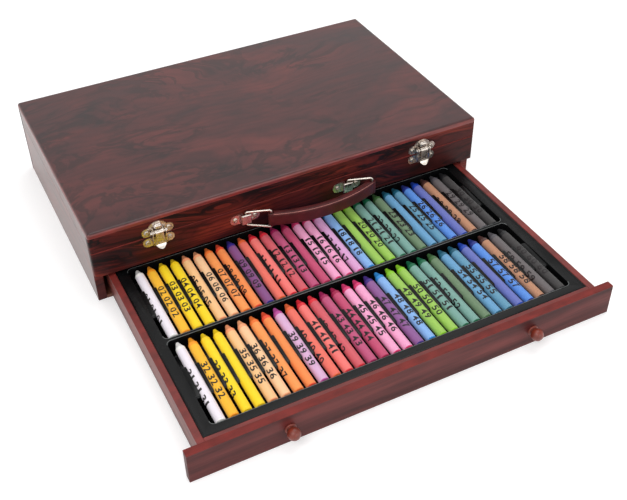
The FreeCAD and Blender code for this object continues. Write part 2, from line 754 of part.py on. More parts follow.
def make_tray():
    flange = box(-tray_half_width, tray_half_width, tray_front_y, tray_back_y, tray_top - tray_wall, tray_top)
    rim_in = tray_half_width - tray_rim_width
    rim = box(-tray_half_width, tray_half_width, tray_front_y, tray_back_y, tray_top - tray_wall,
              tray_top + tray_rim_height)
    rim = rim.cut(box(-rim_in, rim_in, tray_front_y + tray_rim_width, tray_back_y - tray_rim_width,
                      tray_top - tray_wall - cut_over, tray_top + tray_rim_height + cut_over))
    wide = well_half_width + tray_wall
    tub = box(-wide, wide, wells_front_y - tray_wall, wells_back_y + tray_wall, drawer_bottom_top, tray_top)
    tray = fuse([flange, rim, tub])
    for back in well_backs.values():
        well = rounded_well(back - well_length, back, well_floor, tray_top + cut_over)
        tray = tray.cut(well)
    y_low, y_high = tray_front_y + tray_rim_width * 2, tray_back_y - tray_rim_width * 2
    tray = soften(tray, tray_edge_radius, lambda at: same(at.z, tray_top)
                  and abs(at.x) < rim_in - tray_rim_width and y_low < at.y < y_high)
    for back in well_backs.values():
        bar, (y_low, y_high) = cradle(back)
        tray = tray.fuse(bar)
        roof = crayon_height - scallop_radius - tray_wall
        hollow_half = well_half_width - tray_wall
        tray = tray.cut(box(-hollow_half, hollow_half, y_low + tray_wall, y_high - tray_wall,
                            drawer_bottom_top - cut_over, roof))
    keep("crayon_tray", tray.removeSplitter())


def crayon(tip):
    # Built along Z from the tip, then laid down with the tip to the back.
    shoulder_z = crayon_tip_length
    shoulder_radius = crayon_radius - crayon_shoulder
    points = [(0, 0), (crayon_tip_radius, 0), (shoulder_radius, shoulder_z), (crayon_radius, shoulder_z),
              (crayon_radius, crayon_length), (0, crayon_length)]
    wire = Part.makePolygon([Vector(radius, 0, z) for radius, z in points + points[:1]])
    solid = Part.Face(wire).revolve(Vector(0, 0, 0), z_axis, 360)
    solid.Placement = FreeCAD.Placement(tip, FreeCAD.Rotation(z_axis, outward))
    return solid


def make_crayons():
    groups = {}
    for row, colours in row_colours.items():
        for index, colour in enumerate(colours):
            groups.setdefault(colour, []).append(crayon(crayon_tip(row, index)))
    for colour, solids in groups.items():
        keep(f"crayons_{colour}", *solids)


make_base()
make_lid()
make_hinges()
make_latches()
make_handle()
make_drawer()
make_tray()
make_crayons()

for name, shape in nodes.items():
    shape.exportStep(f"parts/{name}.step")
print(len(nodes), "nodes,", sum(len(shape.Solids) for shape in nodes.values()), "solids")
print("crayon length", round(crayon_length, 2), "pitch", round(crayon_pitch, 3))
print("drawer face y", round(drawer_face_y, 2), "hinge axis", hinge_axis)
print("closed travel", round(drawer_box_length - drawer_hold, 3), "minus the seat gap")
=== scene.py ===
# The looks of a wooden art case: burl-print boards, nickel latches and handle, and a
# pulled-out drawer with sixty wrapped wax crayons in a black formed tray.
import random
from math import asin, cos, pi, radians, sin

import bpy
from mathutils import Matrix, Vector


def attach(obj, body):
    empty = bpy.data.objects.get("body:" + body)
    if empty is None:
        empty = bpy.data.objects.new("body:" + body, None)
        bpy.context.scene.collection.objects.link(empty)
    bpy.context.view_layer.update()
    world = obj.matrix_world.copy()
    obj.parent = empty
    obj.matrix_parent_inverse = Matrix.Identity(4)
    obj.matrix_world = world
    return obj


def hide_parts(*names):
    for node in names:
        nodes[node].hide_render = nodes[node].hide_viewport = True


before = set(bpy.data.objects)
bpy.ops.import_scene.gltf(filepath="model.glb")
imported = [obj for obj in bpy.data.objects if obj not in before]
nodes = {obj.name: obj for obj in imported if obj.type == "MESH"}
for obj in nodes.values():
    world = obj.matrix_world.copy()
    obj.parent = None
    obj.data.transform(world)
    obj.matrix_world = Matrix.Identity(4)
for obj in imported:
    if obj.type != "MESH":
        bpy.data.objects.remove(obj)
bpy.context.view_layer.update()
mm = 0.001
dice = random.Random(7)
up = Vector((0, 0, 1))


# Shared steps for shader nodes

# A noise stays between about these two values.
noiseLow, noiseHigh = 0.3, 0.7


def linear(shade):
    return tuple(c / 12.92 if c < 0.04045 else ((c + 0.055) / 1.055) ** 2.4 for c in shade) + (1,)


def grey(value):
    return (value, value, value, 1)


def feed(tree, node, inputs):
    # An input takes a link from another node's output, or else a plain value.
    for key, value in inputs.items():
        if isinstance(value, bpy.types.NodeSocket):
            tree.links.new(value, node.inputs[key])
        else:
            node.inputs[key].default_value = value


def addNode(tree, kind, inputs, **settings):
    node = tree.nodes.new(f"ShaderNode{kind}")
    for key, value in settings.items():
        setattr(node, key, value)
    feed(tree, node, inputs)
    return node


def scaledPlace(tree, scale=(1, 1, 1)):
    place = addNode(tree, "TexCoord", {})
    return addNode(tree, "Mapping", {"Vector": place.outputs["Object"], "Scale": scale}).outputs["Vector"]


def noise(tree, place, scale, detail=4, distortion=0, roughness=0.5, output="Fac"):
    node = addNode(tree, "TexNoise", {"Vector": place, "Scale": scale, "Detail": detail,
                                      "Distortion": distortion, "Roughness": roughness})
    return node.outputs[output]


def ramp(tree, factor, stops):
    node = addNode(tree, "ValToRGB", {"Fac": factor})
    elements = node.color_ramp.elements
    while len(elements) < len(stops):
        elements.new(0.5)
    for element, (position, color) in zip(elements, stops):
        element.position = position
        element.color = color
    return node.outputs["Color"]


def greys(tree, factor, *stops):
    # Each stop is a place on the ramp and the grey there.
    return ramp(tree, factor, [(place, grey(value)) for place, value in stops])


def tones(tree, factor, shade, darker, lighter):
    return ramp(tree, factor, [(noiseLow, linear([c * darker for c in shade])),
                               (noiseHigh, linear([c * lighter for c in shade]))])


def roughs(tree, factor, rough, low, high):
    return greys(tree, factor, (noiseLow, rough + low), (noiseHigh, rough + high))


def mixColors(tree, kind, factor, one, other):
    inputs = {"Factor": factor, "A": one, "B": other}
    return addNode(tree, "Mix", inputs, data_type="RGBA", blend_type=kind).outputs["Result"]


def larger(tree, one, other):
    return addNode(tree, "Math", {0: one, 1: other}, operation="MAXIMUM").outputs[0]


# Camera, floor, lamps and world

photo = {"width": 627, "focalPixels": 959.0, "azimuth": -26.24, "elevation": 40.081, "roll": -1.083,
         "distance": 832.6, "target": (-14.8, -182.2, 40.0), "sensor": 36.0, "clip": (0.01, 50)}


def placeCamera():
    azimuth, elevation, roll = (radians(photo[key]) for key in ("azimuth", "elevation", "roll"))
    back = Vector((sin(azimuth) * cos(elevation), -cos(azimuth) * cos(elevation), sin(elevation)))
    level = (-back).cross(up).normalized()
    above = level.cross(-back)
    right = cos(roll) * level + sin(roll) * above
    top = cos(roll) * above - sin(roll) * level
    data = bpy.data.cameras.new("photoCamera")
    data.sensor_width = photo["sensor"]
    data.lens = photo["focalPixels"] / photo["width"] * photo["sensor"]
    data.clip_start, data.clip_end = photo["clip"]
    camera = bpy.data.objects.new("photoCamera", data)
    bpy.context.scene.collection.objects.link(camera)
    turned = Matrix((right, top, back)).transposed().to_4x4()
    place = (Vector(photo["target"]) + back * photo["distance"]) * mm
    camera.matrix_world = Matrix.Translation(place) @ turned
    bpy.context.scene.camera = camera


lamps = {
    "keySoftbox": {"place": (-0.9, -0.9, 1.5), "size": 1.1, "power": 13},
    "topSoftbox": {"place": (0.35, 0.1, 1.6), "size": 1.2, "power": 9},
    "frontFill": {"place": (0.5, -1.6, 0.7), "size": 1.0, "power": 5},
}
studio = {"lookAt": (0, -0.1, 0.03), "ambient": 0.62, "white": 1.0, "ceiling": 0.34, "ceilingLevel": 0.72,
          "horizon": 0.95, "horizonLevel": 0.42, "floorShade": 0.82, "floorLift": 0.3, "floorSize": 8}


def placeLamps():
    for name, lamp in lamps.items():
        data = bpy.data.lights.new(name, "AREA")
        data.size = lamp["size"]
        data.energy = lamp["power"]
        piece = bpy.data.objects.new(name, data)
        bpy.context.scene.collection.objects.link(piece)
        place = Vector(lamp["place"])
        toward = Vector(studio["lookAt"]) - place
        piece.matrix_world = Matrix.Translation(place) @ toward.to_track_quat("-Z", "Y").to_matrix().to_4x4()


def placeWorld():
    world = bpy.data.worlds.new("studioWorld")
    bpy.context.scene.world = world
    world.use_nodes = True
    tree = world.node_tree
    tree.nodes.clear()
    seen = addNode(tree, "LightPath", {}).outputs
    split = addNode(tree, "SeparateXYZ", {0: addNode(tree, "TexCoord", {}).outputs["Generated"]})
    # Mirrors see a white horizon under a dimmer ceiling.
    room = greys(tree, split.outputs["Z"], (studio["horizonLevel"], studio["horizon"]),
                 (studio["ceilingLevel"], studio["ceiling"]))
    mirrored = mixColors(tree, "MIX", seen["Is Glossy Ray"], grey(studio["ambient"]), room)
    direct = larger(tree, seen["Is Camera Ray"], seen["Is Transmission Ray"])
    shown = mixColors(tree, "MIX", direct, mirrored, grey(studio["white"]))
    shine = addNode(tree, "Background", {"Color": shown})
    addNode(tree, "OutputWorld", {"Surface": shine.outputs[0]})


def placeFloor():
    bpy.ops.object.select_all(action="DESELECT")
    bpy.ops.mesh.primitive_plane_add(size=studio["floorSize"], location=(0, 0, 0))
    floor = bpy.context.object
    floor.name = "studioFloor"
    material = bpy.data.materials.new("paleFloor")
    material.use_nodes = True
    tree = material.node_tree
    tree.nodes.clear()
    matte = addNode(tree, "BsdfDiffuse", {"Color": grey(studio["floorShade"])})
    seen = addNode(tree, "LightPath", {}).outputs
    either = larger(tree, seen["Is Camera Ray"], seen["Is Glossy Ray"])
    anyRay = larger(tree, either, seen["Is Transmission Ray"])
    lift = addNode(tree, "Math", {0: anyRay, 1: studio["floorLift"]}, operation="MULTIPLY")
    glow = addNode(tree, "Emission", {"Strength": lift.outputs[0]})
    added = addNode(tree, "AddShader", {0: matte.outputs[0], 1: glow.outputs[0]})
    addNode(tree, "OutputMaterial", {"Surface": added.outputs[0]})
    floor.data.materials.append(material)


placeCamera()
placeLamps()
placeWorld()
placeFloor()
bpy.context.scene.view_settings.view_transform = "Standard"
print("camera, lamps and floor placed")


# Materials

def startMaterial(name):
    material = bpy.data.materials.new(name)
    material.use_nodes = True
    return material, material.node_tree, material.node_tree.nodes["Principled BSDF"]


def bumped(tree, shader, height, strength, distance):
    bump = addNode(tree, "Bump", {"Height": height, "Strength": strength, "Distance": distance})
    feed(tree, shader, {"Normal": bump.outputs["Normal"]})


def edgeStain(tree, band, edgeRed):
    # How far a height lies across the band, and the plain brighter red of a stained edge, which along the
    # base rail's top also serves as a painted highlight.
    split = addNode(tree, "SeparateXYZ", {0: addNode(tree, "TexCoord", {}).outputs["Object"]})
    reach = addNode(tree, "MapRange", {"Value": split.outputs["Z"], "From Min": band[0], "From Max": band[1]})
    blotches = noise(tree, scaledPlace(tree, edgeRed["stretch"]), edgeRed["scale"])
    return reach.outputs[0], tones(tree, blotches, edgeRed["shade"], edgeRed["darker"], edgeRed["lighter"])


burl = {"vein": (0.04, 0.022, 0.027), "patch": (0.10, 0.055, 0.065), "regionShare": 0.6,
        "edgeRed": {"shade": (0.46, 0.16, 0.14), "darker": 0.8, "lighter": 1.12, "stretch": (1, 1, 6),
                  "scale": 60}}


def burlMaterial(name, settings):
    material, tree, shader = startMaterial(name)
    place = scaledPlace(tree, settings["stretch"])
    # A slow noise bends the place, so that the figure curls round soft eyes.
    bend = noise(tree, place, settings["bendScale"], detail=2, output="Color")
    centred = addNode(tree, "VectorMath", {0: bend, 1: (0.5, 0.5, 0.5)}, operation="SUBTRACT")
    pushed = addNode(tree, "VectorMath", {0: centred.outputs[0], "Scale": settings["bendReach"]},
                     operation="SCALE")
    bent = addNode(tree, "VectorMath", {0: place, 1: pushed.outputs[0]}, operation="ADD").outputs[0]
    figure = noise(tree, bent, settings["figureScale"], detail=6, distortion=0.6, roughness=0.6)
    dark, middle, light = settings["shades"]
    shade = ramp(tree, figure, [(0.32, linear(dark)), (0.5, linear(middle)), (0.68, linear(light))])
    waves = {"Vector": bent, "Scale": settings["grainScale"], "Distortion": settings["grainDistortion"],
             "Detail": 4, "Detail Scale": 1.6}
    wave = addNode(tree, "TexWave", waves, wave_type="BANDS", bands_direction=settings["bands"])
    grain = greys(tree, wave.outputs["Fac"], (0.0, 0.4), (0.3, 0.95), (1.0, 1.2))
    shade = mixColors(tree, "MULTIPLY", settings["grain"], shade, grain)
    # Thin dark veins run through some regions only.
    veins = noise(tree, bent, settings["veinScale"], detail=5, distortion=1.4, roughness=0.62)
    veinMask = greys(tree, veins, (0.455, 0), (0.485, 1), (0.515, 1), (0.535, 0))
    region = noise(tree, place, settings["patchScale"] * burl["regionShare"], detail=2)
    mask = mixColors(tree, "MULTIPLY", 1, veinMask, greys(tree, region, (0.36, 0), (0.52, 1)))
    strength = mixColors(tree, "MULTIPLY", 1, mask, grey(settings["vein"]))
    shade = mixColors(tree, "MIX", strength, shade, linear(burl["vein"]))
    patches = noise(tree, bent, settings["patchScale"], distortion=0.4, roughness=0.55)
    patchMask = greys(tree, patches, (0.56, 0), (0.66, settings["patch"]))
    shade = mixColors(tree, "MIX", patchMask, shade, linear(burl["patch"]))
    # The board's edge takes a brighter red: a stain on the lid's top panel, and along the base rail's top the
    # rail's edge with a painted highlight.
    if settings["edge"]:
        reach, edge = edgeStain(tree, settings["edge"], burl["edgeRed"])
        shade = mixColors(tree, "MIX", reach, edge, shade)
    rough = roughs(tree, figure, settings["rough"], low=-0.05, high=0.06)
    feed(tree, shader, {"Base Color": shade, "Roughness": rough, "Specular IOR Level": settings["shine"],
                        "Coat Weight": settings["coat"], "Coat Roughness": settings["coatRough"],
                        "Coat IOR": settings["coatIor"]})
    pores = noise(tree, scaledPlace(tree, settings["stretch"]), scale=420, detail=3)
    bumped(tree, shader, pores, strength=0.10, distance=0.0002)
    return material


lidTopBurl = burlMaterial("lidTopBurl", {
    "stretch": (0.55, 1.15, 1.15),
    "shades": ((0.20, 0.085, 0.09), (0.29, 0.115, 0.115), (0.37, 0.155, 0.145)),
    "bendScale": 9, "bendReach": 0.09, "figureScale": 19, "bands": "Y", "grainScale": 30,
    "grainDistortion": 6, "grain": 0.22, "veinScale": 14, "vein": 0.5, "patchScale": 26, "patch": 0.35,
    "edge": (0.0762, 0.0774), "rough": 0.42, "coat": 0.42, "coatRough": 0.2, "coatIor": 1.5, "shine": 0.4})
railFigure = {
    "stretch": (0.34, 0.34, 1.7),
    "shades": ((0.10, 0.035, 0.035), (0.29, 0.09, 0.08), (0.47, 0.17, 0.12)),
    "bendScale": 13, "bendReach": 0.12, "figureScale": 20, "bands": "Z", "grainScale": 34,
    "grainDistortion": 7, "grain": 0.7, "veinScale": 15, "vein": 0.95, "patchScale": 26, "patch": 0.85,
    "edge": None, "rough": 0.5, "coat": 0.05, "coatRough": 0.4, "coatIor": 1.5, "shine": 0.15}
railBurl = burlMaterial("railBurl", railFigure)
# A thin line of the edge red along the base rail's top, under the seam: the rail's edge with a painted
# highlight on its arris.
baseRailBurlWithHighlight = burlMaterial("baseRailBurlWithHighlight", {**railFigure, "edge": (0.0569, 0.0563)})
endBurl = burlMaterial("endBurl", {
    **railFigure, "shades": ((0.25, 0.09, 0.08), (0.38, 0.14, 0.12), (0.50, 0.20, 0.16)), "vein": 0.35,
    "patch": 0.3})
# The sides' wood is lighter and pinker than the rails': its own colour with a painted sheen for the lacquer's
# glare at a glancing angle.
sideBurlWithSheen = burlMaterial("sideBurlWithSheen", {
    **railFigure, "shades": ((0.18, 0.085, 0.085), (0.33, 0.16, 0.145), (0.45, 0.24, 0.21)), "grain": 0.6,
    "vein": 0.8, "patch": 0.4, "rough": 0.38, "coat": 0.2, "coatRough": 0.35, "coatIor": 1.6, "shine": 0.5})
# The sides are seen at a glancing angle, where the lacquer mirrors the room in a warm tone.
feed(sideBurlWithSheen.node_tree, sideBurlWithSheen.node_tree.nodes["Principled BSDF"],
     {"IOR": 2.6, "Specular Tint": (1, 0.84, 0.82, 1)})


grainWood = {"frontDark": (0.25, 0.085, 0.085), "frontLight": (0.42, 0.17, 0.16),
             "insideDark": (0.30, 0.11, 0.09), "insideLight": (0.50, 0.21, 0.17),
             "panelDark": (0.30, 0.15, 0.10), "panelLight": (0.46, 0.27, 0.19),
             "knobDark": (0.36, 0.12, 0.07), "knobLight": (0.55, 0.20, 0.12),
             "frontEdge": (0.0296, 0.0301), "insideEdge": (0.0269, 0.0274), "coatRough": 0.3,
             "edgeRed": {"shade": (0.45, 0.14, 0.12), "darker": 0.82, "lighter": 1.1, "stretch": (0.4, 1, 1),
                       "scale": 130}}


def grainMaterial(name, kind, stretch, edge, rough, coat, shine=0.5):
    # Straight fine grain: long streaks with short pores between them.
    material, tree, shader = startMaterial(name)
    place = scaledPlace(tree, stretch)
    streaks = noise(tree, place, scale=90, detail=5, distortion=0.2, roughness=0.6)
    dark, light = (linear(grainWood[kind + end]) for end in ("Dark", "Light"))
    shade = ramp(tree, streaks, [(0.34, dark), (0.66, light)])
    pores = noise(tree, place, scale=330, detail=2)
    shade = mixColors(tree, "MULTIPLY", 0.6, shade, greys(tree, pores, (0.34, 0.62), (0.46, 1)))
    clouds = noise(tree, scaledPlace(tree), scale=14, detail=3)
    shade = mixColors(tree, "MULTIPLY", 1, shade, greys(tree, clouds, (noiseLow, 0.86), (noiseHigh, 1.1)))
    if edge:
        reach, stained = edgeStain(tree, edge, grainWood["edgeRed"])
        shade = mixColors(tree, "MIX", reach, shade, stained)
    feed(tree, shader, {"Base Color": shade, "Roughness": roughs(tree, streaks, rough, low=0.08, high=-0.04),
                        "Specular IOR Level": shine, "Coat Weight": coat,
                        "Coat Roughness": grainWood["coatRough"]})
    bumped(tree, shader, pores, strength=0.25, distance=0.0002)
    return material


drawerFrontWood = grainMaterial("drawerFrontWood", "front", (0.06, 1, 1), grainWood["frontEdge"],
                                rough=0.46, coat=0.05, shine=0.25)
drawerSideWood = grainMaterial("drawerSideWood", "inside", (1, 0.06, 1), grainWood["insideEdge"],
                               rough=0.5, coat=0.15)
drawerEndWood = grainMaterial("drawerEndWood", "inside", (0.06, 1, 1), grainWood["insideEdge"],
                              rough=0.45, coat=0.2)
panelWood = grainMaterial("panelWood", "panel", (0.08, 1, 1), None, rough=0.55, coat=0.1)
knobWood = grainMaterial("knobWood", "knob", (1, 0.15, 1), None, rough=0.4, coat=0.25)


def metalMaterial(name, shade, rough, scratch):
    material, tree, shader = startMaterial(name)
    tarnish = noise(tree, scaledPlace(tree), scale=260)
    wear = noise(tree, scaledPlace(tree, (1, 1, 0.12)), scale=900, detail=3)
    feed(tree, shader, {"Base Color": tones(tree, tarnish, shade, darker=0.9, lighter=1), "Metallic": 1,
                        "Roughness": greys(tree, wear, (0.35, rough), (0.75, rough + 0.16))})
    bumped(tree, shader, wear, scratch, distance=0.0001)
    return material


nickel = metalMaterial("brightNickel", (0.87, 0.83, 0.79), rough=0.2, scratch=0.12)
hingeNickel = metalMaterial("hingeNickel", (0.80, 0.78, 0.74), rough=0.26, scratch=0.2)
screwSteel = metalMaterial("screwSteel", (0.82, 0.79, 0.75), rough=0.18, scratch=0.12)


def plasticMaterial(name, shade, rough, shine):
    material, tree, shader = startMaterial(name)
    mottle = noise(tree, scaledPlace(tree), scale=35, detail=3)
    skin = noise(tree, scaledPlace(tree), scale=700, detail=3)
    feed(tree, shader, {"Base Color": tones(tree, mottle, shade, darker=0.85, lighter=1.15),
                        "Specular IOR Level": shine,
                        "Roughness": roughs(tree, mottle, rough, low=-0.05, high=0.08)})
    bumped(tree, shader, skin, strength=0.12, distance=0.0001)
    return material


trayPlastic = plasticMaterial("trayPlastic", (0.04, 0.042, 0.046), rough=0.24, shine=0.3)
# A light grey for the strips at the wells' mouths: a painted highlight on the rolled edges.
trayHighlightPaint = plasticMaterial("trayHighlightPaint", (0.40, 0.41, 0.41), rough=0.3, shine=0.5)


def leatherMaterial(name, shade):
    material, tree, shader = startMaterial(name)
    place = scaledPlace(tree)
    cells = addNode(tree, "TexVoronoi", {"Vector": place, "Scale": 1100}).outputs["Distance"]
    tone = noise(tree, place, scale=90)
    creases = greys(tree, cells, (0.1, 1), (0.8, 0.72))
    color = mixColors(tree, "MULTIPLY", 0.7, tones(tree, tone, shade, darker=0.8, lighter=1.2), creases)
    feed(tree, shader, {"Base Color": color, "Specular IOR Level": 0.3,
                        "Roughness": greys(tree, tone, (noiseLow, 0.36), (noiseHigh, 0.52))})
    bumped(tree, shader, cells, strength=0.35, distance=0.0003)
    return material


strapLeather = leatherMaterial("strapLeather", (0.29, 0.085, 0.09))
# A light pink for the fine line along the band's upper edge: a painted highlight.
strapHighlightLine = leatherMaterial("strapHighlightLine", (0.78, 0.52, 0.48))


def paintedMaterial(name, rough, fleck, bumpScale, bumpStrength, sheen=0.0):
    # Each crayon's own shade is kept in the colour attribute called paint.
    material, tree, shader = startMaterial(name)
    paint = addNode(tree, "Attribute", {}, attribute_name="paint").outputs["Color"]
    fibres = noise(tree, scaledPlace(tree, (1, 0.3, 1)), bumpScale)
    flecks = greys(tree, fibres, (noiseLow, 1 - fleck), (noiseHigh, 1 + fleck))
    feed(tree, shader, {"Base Color": mixColors(tree, "MULTIPLY", 1, paint, flecks), "Sheen Weight": sheen,
                        "Roughness": roughs(tree, fibres, rough, low=-0.05, high=0.05)})
    bumped(tree, shader, fibres, bumpStrength, distance=0.0001)
    return material


waxFinish = paintedMaterial("crayonWax", rough=0.42, fleck=0.06, bumpScale=500, bumpStrength=0.25)
paperFinish = paintedMaterial("crayonPaper", rough=0.6, fleck=0.03, bumpScale=900, bumpStrength=0.15,
                              sheen=0.1)
inkFinish = paintedMaterial("printInk", rough=0.5, fleck=0.2, bumpScale=700, bumpStrength=0.1)
print("materials made")


# Materials of the CAD pieces

# How squarely a face has to look the way of a second finish.
towards = 0.7


def setMaterial(piece, material):
    piece.data.materials.clear()
    piece.data.materials.append(material)


def finishNodes(material, *words):
    for name, piece in nodes.items():
        if any(name == word or (word.endswith("*") and name.startswith(word[:-1])) for word in words):
            setMaterial(piece, material)


def finishFaces(material, direction, *names):
    # Faces that look one way carry a second finish.
    for name in names:
        board = nodes[name].data
        board.materials.append(material)
        for face in board.polygons:
            if face.normal.dot(direction) > towards:
                face.material_index = 1


finishNodes(nickel, "latch_*", "handle_*")
finishNodes(screwSteel, "latch_upper_screws", "latch_catch_screws", "handle_bracket_screws",
            "drawer_knob_screws", "hinge_*")
finishNodes(hingeNickel, "hinge_left_*", "hinge_right_*")
finishNodes(railBurl, "base_*", "lid_*")
finishNodes(baseRailBurlWithHighlight, "base_front_rail")
finishNodes(sideBurlWithSheen, "base_left_side", "base_right_side", "lid_left_rail", "lid_right_rail")
finishNodes(lidTopBurl, "lid_top_panel")
finishFaces(endBurl, Vector((0, -1, 0)), "base_left_side", "base_right_side")
finishFaces(panelWood, Vector((0, 0, -1)), "lid_top_panel")
finishNodes(panelWood, "compartment_floor", "base_bottom_panel", "drawer_bottom")
finishNodes(drawerFrontWood, "drawer_front")
finishNodes(drawerSideWood, "drawer_left_side", "drawer_right_side")
finishNodes(drawerEndWood, "drawer_inner_front", "drawer_back")
finishNodes(knobWood, "drawer_left_knob", "drawer_right_knob")
print("board and metal finishes set")


# Shared modelling steps

# How squarely a face has to look up or down, and in millimetres how far an edge has to run
# along an axis, how near points are welded, and how near heights count as the same.
picking = {"facing": 0.9, "edge": 0.1, "weld": 0.002, "level": 0.01}


def clearSelection():
    bpy.ops.object.select_all(action="DESELECT")


def takeUp(piece):
    clearSelection()
    piece.select_set(True)
    bpy.context.view_layer.objects.active = piece


def applyPlace(piece):
    takeUp(piece)
    bpy.ops.object.transform_apply(location=True, rotation=True, scale=True)


def addBlock(low, high):
    # A box between two corners given in millimetres, with its place in its mesh.
    clearSelection()
    low, high = Vector(low) * mm, Vector(high) * mm
    bpy.ops.mesh.primitive_cube_add(size=1, location=(low + high) / 2)
    piece = bpy.context.object
    piece.scale = high - low
    applyPlace(piece)
    return piece


def copyPiece(piece):
    twin = piece.copy()
    twin.data = piece.data.copy()
    bpy.context.scene.collection.objects.link(twin)
    return twin


def editNone(piece, kind):
    takeUp(piece)
    bpy.ops.object.mode_set(mode="EDIT")
    bpy.ops.mesh.select_mode(type=kind)
    bpy.ops.mesh.select_all(action="DESELECT")
    leaveEdit()


def editFaces(piece, chosen):
    editNone(piece, "FACE")
    for face in piece.data.polygons:
        face.select = chosen(face)
    bpy.ops.object.mode_set(mode="EDIT")


def editAll(piece):
    takeUp(piece)
    bpy.ops.object.mode_set(mode="EDIT")
    bpy.ops.mesh.select_all(action="SELECT")


def leaveEdit():
    bpy.ops.object.mode_set(mode="OBJECT")


def looksAlong(face, sign):
    return face.normal.z * sign > picking["facing"]


def extrudeUp(rise):
    bpy.ops.mesh.extrude_region_move(TRANSFORM_OT_translate={"value": (0, 0, rise * mm)})


def bevelEdges(piece, chosen, width, segments):
    editNone(piece, "EDGE")
    points = piece.data.vertices
    for edge in piece.data.edges:
        one, other = (points[index].co for index in edge.vertices)
        edge.select = chosen(one, other)
    bpy.ops.object.mode_set(mode="EDIT")
    bpy.ops.mesh.bevel(offset=width * mm, segments=segments, affect="EDGES")
    leaveEdit()


def bevelAlong(piece, axis, width, segments):
    # Only the edges that run along one axis, 0 to 2 for X to Z.
    bevelEdges(piece, lambda one, other: abs(one[axis] - other[axis]) > picking["edge"] * mm, width, segments)


def applyModifier(piece, kind, **settings):
    takeUp(piece)
    modifier = piece.modifiers.new(kind.lower(), kind)
    for key, value in settings.items():
        setattr(modifier, key, value)
    bpy.ops.object.modifier_apply(modifier=modifier.name)


def softenEdges(piece, width, segments, angle):
    applyModifier(piece, "BEVEL", width=width * mm, segments=segments, limit_method="ANGLE",
                  angle_limit=radians(angle), use_clamp_overlap=True)


def combine(piece, other, operation):
    applyModifier(piece, "BOOLEAN", operation=operation, solver="EXACT", object=other)
    bpy.data.objects.remove(other)


def joinPieces(pieces):
    clearSelection()
    for piece in pieces:
        piece.select_set(True)
    bpy.context.view_layer.objects.active = pieces[0]
    bpy.ops.object.join()
    return pieces[0]


def cleanMesh(piece, angle):
    editAll(piece)
    bpy.ops.mesh.remove_doubles(threshold=picking["weld"] * mm)
    bpy.ops.mesh.normals_make_consistent(inside=False)
    leaveEdit()
    bpy.ops.object.shade_smooth_by_angle(angle=radians(angle))


# The black formed tray

tray = {"halfWidth": 174.0, "front": -319.0, "back": -107.8, "deckTop": 26.8, "deck": 1.0, "rimWidth": 1.4,
        "rimHeight": 0.4, "wellHalf": 164.3, "wells": ((-310.65, -214.9), (-211.9, -116.15)),
        "wellFloor": 7.8, "wall": 1.0, "corner": 4.0, "floorRound": 1.5, "rolled": 0.7,
        "cradle": (0.305, 0.68), "cradleSink": 0.4, "cradleReach": 0.3, "ridgeTop": 26.3, "ridgeEnd": 2.2,
        "ridgeFall": 0.7, "ridgeEdge": 0.4, "lipWide": 0.4, "lipRise": 0.12, "lipDeep": 0.3,
        "lipInside": 1.0, "scallop": 4.45, "scallopSides": 24, "cutReach": 2.0, "cutRise": 4.0,
        "longEdge": 100.0}
crayons = {"count": 30, "radius": 4.2, "height": 23.6, "pitch": 10.759, "tipGap": 2.6, "length": 92.35,
           "drift": 1.0}


def crayonX(index):
    return crayons["pitch"] * (index - (crayons["count"] - 1) / 2)


def makeWellOutline(grow, front, back, low, high):
    half = tray["wellHalf"] + grow
    outline = addBlock((-half, front - grow, low), (half, back + grow, high))
    bevelAlong(outline, axis=2, width=tray["corner"] + grow, segments=6)
    return outline


def makeTray():
    low = tray["deckTop"] - tray["deck"]
    body = addBlock((-tray["halfWidth"], tray["front"], low),
                    (tray["halfWidth"], tray["back"], tray["deckTop"]))
    # The raised rim stands round the deck.
    editFaces(body, lambda face: looksAlong(face, 1))
    bpy.ops.mesh.inset(thickness=tray["rimWidth"] * mm)
    leaveEdit()
    inner = (tray["halfWidth"] - tray["rimWidth"]) * mm
    editFaces(body, lambda face: looksAlong(face, 1) and face.area < inner * inner)
    extrudeUp(tray["rimHeight"])
    leaveEdit()
    half, wall = tray["wellHalf"], tray["wall"]
    (firstFront, firstBack), (lastFront, lastBack) = tray["wells"]
    tubs = addBlock((-half - wall, firstFront - wall, tray["wellFloor"] - wall),
                    (half + wall, lastBack + wall, low + tray["deck"] / 2))
    combine(body, tubs, "UNION")
    bottom = (tray["wellFloor"] + picking["level"]) * mm
    for front, back in tray["wells"]:
        well = makeWellOutline(0, front, back, tray["wellFloor"], tray["deckTop"] + tray["cutRise"])
        bevelEdges(well, lambda one, other: max(one.z, other.z) < bottom, tray["floorRound"], segments=3)
        combine(body, well, "DIFFERENCE")
    softenEdges(body, tray["rolled"], segments=3, angle=50)
    return body


def makeLip(front, back):
    # A thin light grey strip along the front and back of a well's mouth: a painted highlight on the rolled
    # edge.
    top, reach = tray["deckTop"], tray["cutReach"]
    lip = makeWellOutline(tray["lipWide"], front, back, top - tray["lipDeep"], top + tray["lipRise"])
    combine(lip, makeWellOutline(0, front, back, top - reach, top + reach), "DIFFERENCE")
    for side in (-1, 1):
        inside, outside = sorted(side * (tray["wellHalf"] + step) for step in (-tray["lipInside"], reach))
        ends = addBlock((inside, front + tray["corner"], top - reach),
                        (outside, back - tray["corner"], top + reach))
        combine(lip, ends, "DIFFERENCE")
    setMaterial(lip, trayHighlightPaint)
    return lip


